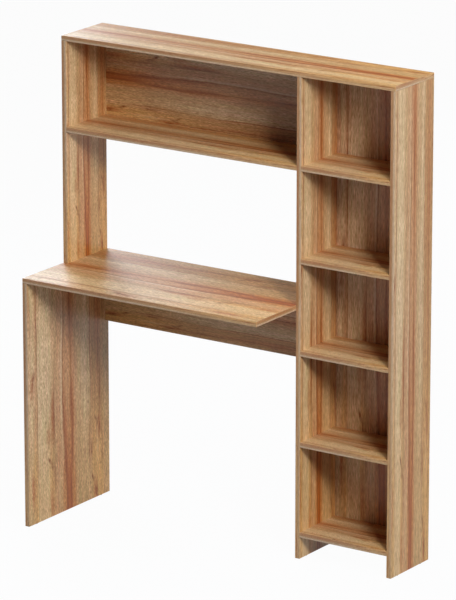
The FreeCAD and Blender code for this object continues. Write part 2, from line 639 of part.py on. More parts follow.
def check_and_write():
    """Stops on any failed object or cut that took nothing away, then writes each sub-part."""
    for thing in doc.Objects:
        if "Invalid" in thing.State or "Error" in thing.State:
            raise RuntimeError(f"{thing.Label} failed: {thing.State}")
        if thing.isDerivedFrom("Part::Cut") and thing.Shape.Volume >= thing.Base.Shape.Volume:
            raise RuntimeError(f"{thing.Label} has lost no material to its tools")
    for node in nodes:
        if node.Shape.isNull() or not node.Shape.isValid():
            raise RuntimeError(f"{node.Label} has no valid shape")
    os.makedirs("parts", exist_ok=True)
    for node in nodes:
        node.Shape.exportStep(f"parts/{node.Label}.step")
    print(f"{len(nodes)} sub-parts written, {sum(len(node.Shape.Solids) for node in nodes)} solids")


make_sheet()
cam_bolt = make_cam_bolt()
cam_lock = make_cam_lock()
cam_cutter = make_cam_cutter()
dowel, dowel_cutter = make_dowel()
screw, screw_cutter = make_screw()
nail, nail_cutter = make_nail()
glide_pad, glide_nail, glide_cutter = make_glide()
join_desk()
join_hutch()
join_bookcase()
add_glides()
make_boards()
make_edging()
group_fasteners()
doc.recompute()
check_and_write()
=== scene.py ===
"""Student desk with hutch: the finish of its boards, edge bands and fittings, and the studio around it."""

import math

import bpy
from mathutils import Euler, Matrix, Vector


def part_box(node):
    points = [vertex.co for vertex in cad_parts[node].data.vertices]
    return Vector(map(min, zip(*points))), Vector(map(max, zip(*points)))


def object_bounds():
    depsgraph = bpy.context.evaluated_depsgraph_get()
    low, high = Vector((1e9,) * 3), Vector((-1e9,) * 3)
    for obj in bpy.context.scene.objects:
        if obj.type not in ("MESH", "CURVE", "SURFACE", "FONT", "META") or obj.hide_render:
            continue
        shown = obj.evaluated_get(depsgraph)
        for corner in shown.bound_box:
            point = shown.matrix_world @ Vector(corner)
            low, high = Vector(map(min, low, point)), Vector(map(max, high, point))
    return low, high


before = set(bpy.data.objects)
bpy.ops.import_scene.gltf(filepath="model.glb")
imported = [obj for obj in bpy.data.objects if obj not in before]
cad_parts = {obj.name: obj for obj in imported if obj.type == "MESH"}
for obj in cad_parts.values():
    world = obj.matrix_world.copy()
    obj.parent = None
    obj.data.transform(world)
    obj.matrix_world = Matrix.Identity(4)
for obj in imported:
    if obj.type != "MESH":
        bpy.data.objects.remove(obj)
CAD_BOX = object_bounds()

bl_info = {
    "name": "Student desk with hutch",
    "version": (1, 0, 0),
    "blender": (4, 5, 0),
    "location": "3D View > Sidebar > Desk",
    "description": "Finishes the boards, edge bands and fittings of the desk and sets up its studio",
    "category": "3D View",
}

# Directions that the printed grain and its width take on the boards.
RIGHT = Vector((1, 0, 0))
LEFT = Vector((-1, 0, 0))
REARWARD = Vector((0, 1, 0))
UP = Vector((0, 0, 1))
DOWN = Vector((0, 0, -1))

MM = 0.001
# The print repeats on every board: one sheet of it is stretched to the board. Its size is in mm, along the
# grain and across it.
SHEET_ALONG = 800
SHEET_ACROSS = 400
# The tones of the grain's start give way to those of its end between these places, in mm along the sheet.
CHANGE_START = 336
CHANGE_END = 736

# Bands of the print, from its front edge: mm across the sheet, tone at the start of the grain, tone at its
# end.
BANDS = (
    (0, "pink", "tan"),
    (8, "straw", "straw"),
    (20, "straw", "tan"),
    (36, "pink", "amber"),
    (44, "tan", "tan"),
    (50, "straw", "straw"),
    (98, "straw", "straw"),
    (116, "tan", "amber"),
    (130, "tan", "tan"),
    (138, "pink", "pink"),
    (157, "pink", "pink"),
    (163, "straw", "tan"),
    (168, "pink", "pink"),
    (173, "terra", "rust"),
    (179, "pink", "terra"),
    (185, "terra", "russet"),
    (191, "pink", "rust"),
    (198, "terra", "rust"),
    (204, "terra", "russet"),
    (210, "terra", "rust"),
    (216, "terra", "rust"),
    (227, "pink", "terra"),
    (242, "tan", "tan"),
    (262, "tan", "tan"),
    (280, "straw", "tan"),
    (300, "tan", "tan"),
    (306, "terra", "tan"),
    (324, "brown", "amber"),
    (345, "terra", "amber"),
    (366, "brown", "amber"),
    (384, "tan", "tan"),
    (400, "brown", "tan"),
)

# Features of the print as long thin spots: mm along, mm across, half length, half width, strength, tilt in
# degrees.
LIGHT_LINES = (
    (400, 48, 440, 4.0, 0.75, 0),
    (560, 64, 150, 9.0, 0.60, 0),
    (360, 163, 380, 5.0, 0.90, 0),
    (720, 151, 110, 5.0, 0.70, 0),
    (690, 141, 100, 3.5, 0.50, 0),
    (330, 264, 260, 12.0, 0.40, 0),
    (620, 342, 120, 7.0, 0.50, 0),
)
FLAMES = (
    (350, 17, 80, 13, 0.75, 0),
    (530, 98, 60, 16, 0.70, 0),
    (470, 119, 150, 15, 0.80, 0),
    (690, 22, 100, 13, 0.85, 0),
    (760, 118, 100, 20, 0.65, 0),
    (500, 178, 240, 12, 0.60, 1.0),
    (480, 212, 190, 15, 0.75, 0),
    (740, 196, 160, 25, 0.75, 0),
    (70, 201, 190, 24, 0.80, 0),
    (240, 205, 150, 10, 0.35, 0),
    (560, 350, 70, 14, 0.80, 0),
    (775, 332, 60, 18, 0.75, 0),
    (200, 340, 260, 22, 0.40, 0),
)
VEINS = (
    (190, 41, 220, 5.5, 1.00, 0),
    (480, 42, 200, 4.5, 0.60, 0),
    (475, 127, 170, 7.5, 1.00, 0),
    (420, 126, 80, 5.5, 0.90, 0),
    (650, 131, 130, 5.0, 0.55, 0),
    (230, 170, 260, 5.5, 0.80, 0),
    (480, 172, 220, 7.0, 1.00, 0.8),
    (640, 180, 150, 8.0, 1.00, 3.0),
    (765, 186, 110, 6.5, 1.00, 1.0),
    (130, 200, 190, 6.5, 1.00, 0),
    (300, 206, 140, 4.5, 0.65, 0),
    (430, 208, 140, 8.5, 1.00, 1.5),
    (540, 214, 110, 6.5, 0.90, 0),
    (740, 205, 120, 6.5, 1.00, 0.5),
    (600, 213, 120, 7.0, 0.90, 0),
    (260, 228, 180, 4.0, 0.50, 0),
    (240, 303, 330, 4.5, 0.75, 0),
    (600, 304, 200, 4.5, 0.65, 0),
    (140, 331, 170, 4.5, 0.60, 0),
    (260, 344, 230, 5.0, 0.70, 0),
    (430, 353, 190, 5.0, 0.70, 0),
    (150, 368, 180, 4.5, 0.60, 0),
    (640, 366, 130, 4.5, 0.50, 0),
)
KNOTS = (
    (318, 24, 30, 9.0, 1.00, -12),
    (340, 18, 20, 6.5, 0.75, -20),
    (612, 107, 22, 10.0, 1.00, 40),
    (632, 120, 25, 9.0, 1.00, 22),
    (532, 332, 22, 8.0, 0.85, 40),
    (548, 342, 26, 7.0, 0.80, -25),
    (634, 313, 36, 6.0, 0.90, 0),
    (724, 315, 21, 8.0, 1.00, 15),
    (735, 322, 15, 6.5, 0.80, -40),
    (778, 336, 30, 11.0, 0.95, 10),
    (566, 355, 28, 7.0, 0.80, 0),
    (60, 381, 32, 6.0, 0.55, 0),
)

# Features in the order that they are laid on: spots, tone, least share of it that is left between crumbs.
FEATURES = (
    (LIGHT_LINES, "cream", 0.40),
    (FLAMES, "russet", 0.55),
    (VEINS, "vein", 0.65),
    (KNOTS, "knot", 0.50),
)

# Streaks of the fine grain, mm along and mm across. Bends and feathers then have their reach in mm.
BENDS = ((260, 80, 15), (60, 26, 4))
FEATHERS = (220, 3, 40)
HAIRLINES = (420, 15)
CRUMBS = (12, 4.8)
PORES = (12, 0.6)
HAIRLINE_STRENGTH = 0.14
PORE_SHADE = 0.84
# Noise lies around 0.5. A hairline reaches this far from that middle, and the others go from none to full
# between two levels. At its fullest a crumb makes its feature a little stronger.
NOISE_MIDDLE = 0.5
HAIRLINE_REACH = 0.045
FIBRE_LEVELS = (0.25, 0.75)
CRUMB_LEVELS = (0.36, 0.62)
PORE_LEVELS = (0.30, 0.46)
CRUMB_FULLEST = 1.15

# Fibres from wide streaks down to specks: mm along, mm across, depth, and how much of it each colour channel
# takes.
BROWNER = (0.8, 1.0, 1.3)
PINKER = (0.5, -0.9, 0.2)
FIBRES = (
    (500, 10, 0.08, BROWNER),
    (95, 24, 0.07, BROWNER),
    (180, 4, 0.11, BROWNER),
    (140, 7, 0.06, PINKER),
    (50, 1.8, 0.16, BROWNER),
    (26, 4, 0.22, BROWNER),
    (11, 2.5, 0.38, BROWNER),
)

# The print's red, green and blue are multiplied by these. It is a little greyer at the start of the grain
# than at its end. On the backs it is greyer and darker as painted cool shade, and on the edge bands bluer as
# painted cool light from the front.
START_TINT = (1.01, 1.04, 1.12)
END_TINT = (1.06, 1.04, 0.97)
PLAIN = (1.0, 1.0, 1.0)
BACK_COOL_SHADE_TINT = (0.86, 0.88, 0.98)
EDGE_COOL_LIGHT_TINT = (0.96, 1.00, 1.18)

# Parts of the sheet, from edge to edge, on the boards of the desk's full depth, on those 200 mm deep, on the
# inset shelves, on the hutch back and on the edge bands.
WHOLE = (0.0, 1.0)
NARROW = (0.0525, 0.947)
INSET = (0.0525, 0.88)
HUTCH_BACK = (0.04, 0.935)
EDGE = (0.64, 0.93)

# Boards: node, way of the grain, way across, part of the sheet, tint. The back's tint is painted cool shade.
BOARDS = (
    ("left_leg_panel", DOWN, REARWARD, WHOLE, PLAIN),
    ("desktop", RIGHT, REARWARD, WHOLE, PLAIN),
    ("modesty_panel", LEFT, DOWN, (0.05, 0.93), PLAIN),
    ("left_upright", DOWN, REARWARD, NARROW, PLAIN),
    ("top_panel", RIGHT, REARWARD, NARROW, PLAIN),
    ("bookcase_left_side", DOWN, REARWARD, NARROW, PLAIN),
    ("bookcase_right_side", DOWN, REARWARD, NARROW, PLAIN),
    ("bookcase_shelf_1", RIGHT, REARWARD, INSET, PLAIN),
    ("bookcase_shelf_2", RIGHT, REARWARD, INSET, PLAIN),
    ("bookcase_shelf_3", RIGHT, REARWARD, INSET, PLAIN),
    ("bookcase_shelf_4", RIGHT, REARWARD, INSET, PLAIN),
    ("bookcase_bottom", RIGHT, REARWARD, NARROW, PLAIN),
    # The back's tint is painted cool shade: the print is greyer and darker here.
    ("bookcase_back", DOWN, RIGHT, (-0.012, 0.923), BACK_COOL_SHADE_TINT),
    ("hutch_shelf", RIGHT, REARWARD, (0.0525, 0.934), PLAIN),
)
# Edge bands: node, way of the grain, way across.
EDGE_BANDS = (
    ("top_panel_front_edge", RIGHT, UP),
    ("top_panel_left_edge", REARWARD, UP),
    ("top_panel_right_edge", REARWARD, UP),
    ("desktop_front_edge", RIGHT, UP),
    ("desktop_left_edge", REARWARD, UP),
    ("desktop_right_edge", REARWARD, UP),
    ("left_leg_front_edge", DOWN, LEFT),
    ("left_upright_front_edge", DOWN, LEFT),
    ("bookcase_left_front_edge", DOWN, LEFT),
    ("bookcase_right_front_edge", DOWN, LEFT),
    ("bookcase_shelf_1_front_edge", RIGHT, UP),
    ("bookcase_shelf_2_front_edge", RIGHT, UP),
    ("bookcase_shelf_3_front_edge", RIGHT, UP),
    ("bookcase_shelf_4_front_edge", RIGHT, UP),
    ("bookcase_bottom_front_edge", RIGHT, UP),
    ("hutch_shelf_front_edge", RIGHT, UP),
    ("modesty_lower_edge", LEFT, REARWARD),
)
STEEL_FITTINGS = ("cam_bolts", "bookcase_back_screws", "hutch_back_nails", "glide_nails")

# Roughness of the satin print, of sawn chipboard and of felted fibre, and depth of the grain in the facing.
SATIN = 0.36
SAWN = 0.9
FELTED = 0.8
GRAIN_DEPTH = 0.15 * MM
GRAIN_STRENGTH = 0.25
FACING_IOR = 1.5

# Studio: side of the floor and reach of the camera in metres, height of its sensor in mm, and how much of the
# floor's white glow covers its paint.
FLOOR_SIZE = 40
CAMERA_REACH = 200
SENSOR_HEIGHT = 36
FLOOR_GLOW = 0.97

# Sockets of a Mix node by number: the share of B, then A and B as numbers or as colours. The last is its
# output of colour.
SHARE = 0
NUMBER_A = 2
NUMBER_B = 3
COLOUR_A = 6
COLOUR_B = 7
MIXED_COLOUR = 2


def linear(hex_colour):
    """Linear RGB of an sRGB hex colour."""
    channels = [int(hex_colour[i:i + 2], 16) / 255 for i in (1, 3, 5)]
    return tuple(c / 12.92 if c <= 0.04045 else ((c + 0.055) / 1.055) ** 2.4 for c in channels)


def add(tree, kind, inputs=None, **settings):
    """Adds a node with its settings. An input given a socket is linked, and any other is set to the value."""
    node = tree.nodes.new(kind)
    for name, value in settings.items():
        setattr(node, name, value)
    for key, value in (inputs or {}).items():
        if isinstance(value, bpy.types.NodeSocket):
            tree.links.new(value, node.inputs[key])
        else:
            node.inputs[key].default_value = value
    return node


def new_material(name):
    """An empty material and its node tree."""
    material = bpy.data.materials.new(name)
    material.use_nodes = True
    material.node_tree.nodes.clear()
    return material, material.node_tree


def empty_group(name, *places):
    """The node group of that name, emptied to be built anew. It takes places and gives colour and grain."""
    tree = bpy.data.node_groups.get(name)
    if tree is None:
        tree = bpy.data.node_groups.new(name, "ShaderNodeTree")
        for place in places:
            tree.interface.new_socket(place, in_out="INPUT", socket_type="NodeSocketVector")
        tree.interface.new_socket("Colour", in_out="OUTPUT", socket_type="NodeSocketColor")
        tree.interface.new_socket("Grain", in_out="OUTPUT", socket_type="NodeSocketFloat")
    tree.nodes.clear()
    return tree


def dress(node_name, material):
    """Gives a CAD node its material in every slot that it has."""
    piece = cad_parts.get(node_name)
    if piece is None:
        raise RuntimeError(f"the frame has no node named {node_name}")
    if not piece.material_slots:
        piece.data.materials.append(material)
    for slot in piece.material_slots:
        slot.material = material


def colour_property(name, description, hex_colour):
    """A colour that a user may change, written as sRGB hex."""
    return bpy.props.FloatVectorProperty(
        name=name, description=description, subtype="COLOR", size=3, min=0, max=1, default=linear(hex_colour))


class DeskPrint(bpy.types.PropertyGroup):
    """Tones of the wood print on boards and edge bands."""

    cream: colour_property("Cream", "Thin light lines of the print", "#E6C699")
    straw: colour_property("Straw", "Lightest tan of the print", "#DCB987")
    tan: colour_property("Tan", "Greyish tan between the bands", "#CBA16D")
    pink: colour_property("Pink", "Pinkish tan beside the veins", "#CB9868")
    terra: colour_property("Terra", "Pale red brown around the veins", "#C58B54")
    amber: colour_property("Amber", "Yellow brown at the end of the grain", "#D6A464")
    brown: colour_property("Brown", "Warm brown at the rear edge", "#C18F57")
    rust: colour_property("Rust", "Red brown of the middle band", "#BF7A3E")
    russet: colour_property("Russet", "Strongest red brown, at the end of the grain", "#AE5A22")
    vein: colour_property("Vein", "Dark lines along the grain", "#914C19")
    knot: colour_property("Knot", "Dark middles of the knots", "#8B4A18")


class DeskFinish(bpy.types.PropertyGroup):
    """Colours and sizes of the other finishes."""

    chip: colour_property("Chip", "Light wood chips of the raw board core", "#C9A777")
    chip_gap: colour_property("Chip gap", "Dark gaps and bark between the chips", "#7C5C3B")
    fibre: colour_property("Fibre", "Raw rear of the thin back sheet", "#8A6343")
    zinc: colour_property("Zinc", "Die-cast zinc of the cam locks", "#B4B5B3")
    steel: colour_property("Steel", "Zinc-plated steel of bolts, screws and nails", "#C3C2BD")
    beech: colour_property("Beech", "Beech of the dowels", "#D3AC7E")
    glide: colour_property("Glide", "Brown plastic of the glides", "#4A3526")
    facing_depth: bpy.props.FloatProperty(
        name="Facing depth", description="Thickness of the printed facing on each side of a board",
        default=0.3 * MM, min=0.05 * MM, max=1 * MM, unit="LENGTH")
    chip_size: bpy.props.FloatProperty(
        name="Chip size", description="Usual length of a wood chip in the board core",
        default=3 * MM, min=0.5 * MM, max=10 * MM, unit="LENGTH")


class DeskStudio(bpy.types.PropertyGroup):
    """Camera and lights."""

    camera_azimuth: bpy.props.FloatProperty(
        name="Camera azimuth", description="Camera's turn to the right of the desk's front",
        default=math.radians(33.987), subtype="ANGLE")
    camera_elevation: bpy.props.FloatProperty(
        name="Camera elevation", description="Camera's angle above the horizontal",
        default=math.radians(15.988), subtype="ANGLE")
    camera_place: bpy.props.FloatVectorProperty(
        name="Camera place", description="Where the camera stands", default=(7.1359, -10.5673, 4.3762),
        subtype="TRANSLATION", unit="LENGTH")
    lens: bpy.props.FloatProperty(
        name="Lens", description="Focal length in millimetres on a sensor 36 mm high", default=282.49,
        unit="CAMERA")
    key_power: bpy.props.FloatProperty(
        name="Key power", description="Power of the tall softbox at the front right", default=208,
        unit="POWER")
    low_power: bpy.props.FloatProperty(
        name="Low power", description="Power of the lower softbox further right", default=106,
        unit="POWER")
    overhead_power: bpy.props.FloatProperty(
        name="Overhead power", description="Power of the softbox above the desk", default=52, unit="POWER")
    rear_power: bpy.props.FloatProperty(
        name="Rear power", description="Power of the softbox at the rear left", default=50, unit="POWER")
    behind_power: bpy.props.FloatProperty(
        name="Behind power", description="Power of the weak softbox behind the desk", default=50,
        unit="POWER")
    sheen_power: bpy.props.FloatProperty(
        name="Sheen power", description="Power of the panel at the rear left that the tops mirror",
        default=68, unit="POWER")
    glow_power: bpy.props.FloatProperty(
        name="Glow power", description="Power of the weak low panel at the rear", default=2.2, unit="POWER")
    sheen_tint: colour_property("Sheen tint", "Cool light of the two panels at the rear", "#E7F3FF")
    floor_paint: colour_property("Floor paint", "Cool grey of the floor under its white glow", "#ADB5C5")
    room_tint: colour_property("Room tint", "Cool even light from all around", "#AACBFF")
    backdrop_top: bpy.props.FloatProperty(
        name="Backdrop top", description="Height of the white backdrop as an angle above the horizontal",
        default=math.radians(12), subtype="ANGLE")
    mirrored_white: bpy.props.FloatProperty(
        name="Mirrored white", description="Brightness of the floor and the backdrop in reflections",
        default=0.8, min=0, max=1, subtype="FACTOR")
    world_strength: bpy.props.FloatProperty(
        name="World strength", description="Strength of the even light from all around", default=0.045,
        min=0)


def streaks(tree, place, size, detail):
    """Noise drawn out along the grain, in streaks of that length and width in mm."""
    length, width = size
    drawn = add(tree, "ShaderNodeMapping", {"Vector": place, "Scale": (1, length / width, 0)})
    return add(tree, "ShaderNodeTexNoise", {
        "Vector": drawn.outputs[0], "Scale": 1 / (length * MM), "Detail": detail},
        noise_dimensions="2D").outputs[0]


def spot_mask(tree, place, spots):
    """The strength of the strongest spot at each place, fading out towards the spot's edge."""
    mask = 0.0
    for along, across, half_length, half_width, strength, tilt in spots:
        spot = add(tree, "ShaderNodeMapping", {
            "Vector": place, "Location": (along * MM, across * MM, 0), "Rotation": (0, 0, math.radians(tilt)),
            "Scale": (half_length * MM, half_width * MM, 1)}, vector_type="TEXTURE")
        flat = add(tree, "ShaderNodeVectorMath", {0: spot.outputs[0], 1: (1, 1, 0)}, operation="MULTIPLY")
        away = add(tree, "ShaderNodeVectorMath", {0: flat.outputs[0]}, operation="LENGTH")
        fade = add(tree, "ShaderNodeMapRange", {
            "Value": away.outputs["Value"], "To Min": strength, "To Max": 0}, interpolation_type="SMOOTHSTEP")
        mask = add(tree, "ShaderNodeMath", {0: fade.outputs[0], 1: mask}, operation="MAXIMUM").outputs[0]
    return mask


def wood_print(tones):
    """The print of boards and edge bands as a node group.

    Sheet is the place on the stretched sheet in metres, along the grain and across it, and Board is the same
    place unstretched. It gives the colour and the height of the fine grain."""
    tree = empty_group("wood_print", "Sheet", "Board")
    source = add(tree, "NodeGroupInput")
    sheet = source.outputs["Sheet"]

    # The grain wanders: slow bends and quick ones move it a few mm across.
    bent = sheet
    for *size, reach in BENDS:
        shift = add(tree, "ShaderNodeMath", {
            0: streaks(tree, sheet, size, 1.0), 1: reach * MM, 2: -reach * MM / 2}, operation="MULTIPLY_ADD")
        step = add(tree, "ShaderNodeCombineXYZ", {"Y": shift.outputs[0]})
        bent = add(tree, "ShaderNodeVectorMath", {0: bent, 1: step.outputs[0]}, operation="ADD").outputs[0]
    place = add(tree, "ShaderNodeSeparateXYZ", {"Vector": bent})
    along = add(tree, "ShaderNodeMapRange", {
        "Value": place.outputs["X"], "From Min": CHANGE_START * MM, "From Max": CHANGE_END * MM},
        interpolation_type="SMOOTHSTEP").outputs[0]

    # The bands run into each other in thin feathers.
    *size, reach = FEATHERS
    shift = add(tree, "ShaderNodeMath", {
        0: streaks(tree, bent, size, 2.0), 1: reach * MM, 2: -reach * MM / 2}, operation="MULTIPLY_ADD")
    feathered = add(tree, "ShaderNodeMath", {0: place.outputs["Y"], 1: shift.outputs[0]}, operation="ADD")
    across = add(tree, "ShaderNodeMath", {0: feathered.outputs[0], 1: SHEET_ACROSS * MM}, operation="DIVIDE")
    # One ramp has the tones at the start of the grain, the other those at its end.
    ramps = []
    for column in (1, 2):
        ramp = add(tree, "ShaderNodeValToRGB", {0: across.outputs[0]})
        points = ramp.color_ramp.elements
        while len(points) < len(BANDS):
            points.new(1)
        for point, band in zip(points, BANDS):
            point.position = band[0] / SHEET_ACROSS
            point.color = (*getattr(tones, band[column]), 1)
        ramps.append(ramp.outputs[0])
    colour = add(tree, "ShaderNodeMix", {SHARE: along, COLOUR_A: ramps[0], COLOUR_B: ramps[1]},
                 data_type="RGBA").outputs[MIXED_COLOUR]

    # The fibres make the print lighter and darker.
    for *size, depth, tint in FIBRES:
        light = add(tree, "ShaderNodeMapRange", {
            "Value": streaks(tree, bent, size, 2.0), "From Min": FIBRE_LEVELS[0],
            "From Max": FIBRE_LEVELS[1]})
        shade = add(tree, "ShaderNodeMix", {
            SHARE: light.outputs[0], COLOUR_A: (*(1 - depth * part for part in tint), 1),
            COLOUR_B: (*(1 + depth * part for part in tint), 1)}, data_type="RGBA")
        colour = add(tree, "ShaderNodeVectorMath", {0: colour, 1: shade.outputs[MIXED_COLOUR]},
                     operation="MULTIPLY").outputs[0]

    # Hairlines: where the noise passes its middle, a thin dark line follows the grain every 15 mm or so.
    middle = add(tree, "ShaderNodeMath", {0: streaks(tree, bent, HAIRLINES, 1.0), 1: NOISE_MIDDLE},
                 operation="SUBTRACT")
    away = add(tree, "ShaderNodeMath", {0: middle.outputs[0]}, operation="ABSOLUTE")
    hairline = add(tree, "ShaderNodeMapRange", {
        "Value": away.outputs[0], "From Max": HAIRLINE_REACH, "To Min": HAIRLINE_STRENGTH, "To Max": 0},
        interpolation_type="SMOOTHSTEP")
    colour = add(tree, "ShaderNodeMix", {
        SHARE: hairline.outputs[0], COLOUR_A: colour, COLOUR_B: (*tones.vein, 1)},
        data_type="RGBA").outputs[MIXED_COLOUR]

    # Light lines, flames, veins and knots are broken up into crumbs, as a print of real grain is.
    crumb = streaks(tree, bent, CRUMBS, 2.0)
    for spots, tone, least in FEATURES:
        broken = add(tree, "ShaderNodeMapRange", {
            "Value": crumb, "From Min": CRUMB_LEVELS[0], "From Max": CRUMB_LEVELS[1], "To Min": least,
            "To Max": CRUMB_FULLEST})
        share = add(tree, "ShaderNodeMath", {0: spot_mask(tree, bent, spots), 1: broken.outputs[0]},
                    operation="MULTIPLY", use_clamp=True)
        colour = add(tree, "ShaderNodeMix", {
            SHARE: share.outputs[0], COLOUR_A: colour, COLOUR_B: (*getattr(tones, tone), 1)},
            data_type="RGBA").outputs[MIXED_COLOUR]

    # From its start to its end the grain turns from greyer to warmer.
    drift = add(tree, "ShaderNodeMix", {
        SHARE: along, COLOUR_A: (*START_TINT, 1), COLOUR_B: (*END_TINT, 1)}, data_type="RGBA")
    colour = add(tree, "ShaderNodeVectorMath", {0: colour, 1: drift.outputs[MIXED_COLOUR]},
                 operation="MULTIPLY").outputs[0]

    # Pores are dark dents, at real size on the board.
    grain = add(tree, "ShaderNodeMapRange", {
        "Value": streaks(tree, source.outputs["Board"], PORES, 2.0), "From Min": PORE_LEVELS[0],
        "From Max": PORE_LEVELS[1]}, interpolation_type="SMOOTHSTEP")
    darker = add(tree, "ShaderNodeMapRange", {"Value": grain.outputs[0], "To Min": PORE_SHADE, "To Max": 1.0})
    colour = add(tree, "ShaderNodeVectorMath", {0: colour, "Scale": darker.outputs[0]}, operation="SCALE")
    add(tree, "NodeGroupOutput", {"Colour": colour.outputs[0], "Grain": grain.outputs[0]})
    return tree


def place_on_sheet(tree, node_name, grain, across, shares, sheet=True):
    """Mapping from a board's own place to the sheet of print, or unstretched to the board's grain."""
    low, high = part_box(node_name)
    turn = Matrix((grain, across, grain.cross(across)))
    start = [low[i] if grain[i] + across[i] > 0 else high[i] for i in range(3)]
    size = high - low
    scale = Vector((1, 1, 1))
    offset = Vector((0, 0, 0))
    if sheet:
        for i in range(3):
            if grain[i]:
                scale[i] = SHEET_ALONG * MM / size[i]
            if across[i]:
                scale[i] = (shares[1] - shares[0]) * SHEET_ACROSS * MM / size[i]
        offset = Vector((0, shares[0] * SHEET_ACROSS * MM, 0))
    origin = Vector([start[i] * scale[i] for i in range(3)])
    where = add(tree, "ShaderNodeTexCoord")
    return add(tree, "ShaderNodeMapping", {
        "Vector": where.outputs["Object"], "Scale": scale, "Rotation": turn.to_euler(),
        "Location": offset - turn @ origin}).outputs[0]


def printed(tree, group, node_name, grain, across, shares, tint):
    """The print placed on one board or edge band: its tinted colour and its fine grain. On the backs the tint
    is painted cool shade, on the edge bands painted cool light from the front.
    """
    face = add(tree, "ShaderNodeGroup", {
        "Sheet": place_on_sheet(tree, node_name, grain, across, shares),
        "Board": place_on_sheet(tree, node_name, grain, across, shares, sheet=False)}, node_tree=group)
    colour = add(tree, "ShaderNodeVectorMath", {0: face.outputs["Colour"], 1: tint}, operation="MULTIPLY")
    return colour.outputs[0], face.outputs["Grain"]


def inside_board(tree, node_name, axis, depth):
    """1 between the two printed facings of a board, 0 on them, by the place across its thickness."""
    low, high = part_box(node_name)
    where = add(tree, "ShaderNodeTexCoord")
    place = add(tree, "ShaderNodeSeparateXYZ", {"Vector": where.outputs["Object"]})
    middle = (low[axis] + high[axis]) / 2
    half = (high[axis] - low[axis]) / 2 - depth
    return add(tree, "ShaderNodeMath", {0: place.outputs[axis], 1: middle, 2: half},
               operation="COMPARE").outputs[0]


def raw_chipboard(finish):
    """Sawn chipboard core as a node group: pressed wood chips with dark gaps, colour and height."""
    tree = empty_group("raw_chipboard")
    where = add(tree, "ShaderNodeTexCoord")
    chips = add(tree, "ShaderNodeTexVoronoi", {
        "Vector": where.outputs["Object"], "Scale": 1 / finish.chip_size, "Randomness": 1.0})
    tint = add(tree, "ShaderNodeSeparateColor", {0: chips.outputs["Color"]})
    mixed = add(tree, "ShaderNodeMapRange", {"Value": tint.outputs[0], "To Min": 0.0, "To Max": 0.75})
    gaps = add(tree, "ShaderNodeTexNoise", {
        "Vector": where.outputs["Object"], "Scale": 2 / finish.chip_size, "Detail": 3.0})
    dark = add(tree, "ShaderNodeMapRange", {
        "Value": gaps.outputs[0], "From Min": 0.58, "From Max": 0.40}, interpolation_type="SMOOTHSTEP")
    share = add(tree, "ShaderNodeMath", {0: mixed.outputs[0], 1: dark.outputs[0]}, operation="MULTIPLY")
    colour = add(tree, "ShaderNodeMix", {
        SHARE: share.outputs[0], COLOUR_A: (*finish.chip, 1), COLOUR_B: (*finish.chip_gap, 1)},
        data_type="RGBA")
    add(tree, "NodeGroupOutput", {"Colour": colour.outputs[MIXED_COLOUR], "Grain": gaps.outputs[0]})
    return tree


def faced_board(tree, bare, face, grain, raw, raw_height, raw_gloss):
    """Shader of a faced board: print and grain where bare is 0, its raw core or rear where bare is 1."""
    colour = add(tree, "ShaderNodeMix", {SHARE: bare, COLOUR_A: face, COLOUR_B: raw}, data_type="RGBA")
    gloss = add(tree, "ShaderNodeMapRange", {"Value": bare, "To Min": SATIN, "To Max": raw_gloss})
    height = add(tree, "ShaderNodeMix", {SHARE: bare, NUMBER_A: grain, NUMBER_B: raw_height})
    bump = add(tree, "ShaderNodeBump", {
        "Height": height.outputs[0], "Strength": GRAIN_STRENGTH, "Distance": GRAIN_DEPTH})
    shader = add(tree, "ShaderNodeBsdfPrincipled", {
        "Base Color": colour.outputs[MIXED_COLOUR], "Roughness": gloss.outputs[0], "IOR": FACING_IOR,
        "Normal": bump.outputs[0]})
    add(tree, "ShaderNodeOutputMaterial", {"Surface": shader.outputs[0]})


class DESK_OT_boards(bpy.types.Operator):
    """Print the melamine facing on every 15 mm board, with raw chipboard on its sawn edges and bores"""

    bl_idname = "desk.boards"
    bl_label = "Boards"

    def execute(self, context):
        scene = context.scene
        group = wood_print(scene.desk_print)
        core = raw_chipboard(scene.desk_finish)
        for node_name, grain, across, shares, tint in BOARDS:
            # Melamine facing on chipboard, pressed satin: an even soft gloss on the print, matt where sawn.
            material, tree = new_material(f"melamine_faced_chipboard_{node_name}")
            face, grain_height = printed(tree, group, node_name, grain, across, shares, tint)
            raw = add(tree, "ShaderNodeGroup", node_tree=core)
            thickness = [i for i in range(3) if not grain[i] and not across[i]][0]
            inside = inside_board(tree, node_name, thickness, scene.desk_finish.facing_depth)
            faced_board(tree, inside, face, grain_height, raw.outputs["Colour"], raw.outputs["Grain"], SAWN)
            dress(node_name, material)
        return {"FINISHED"}


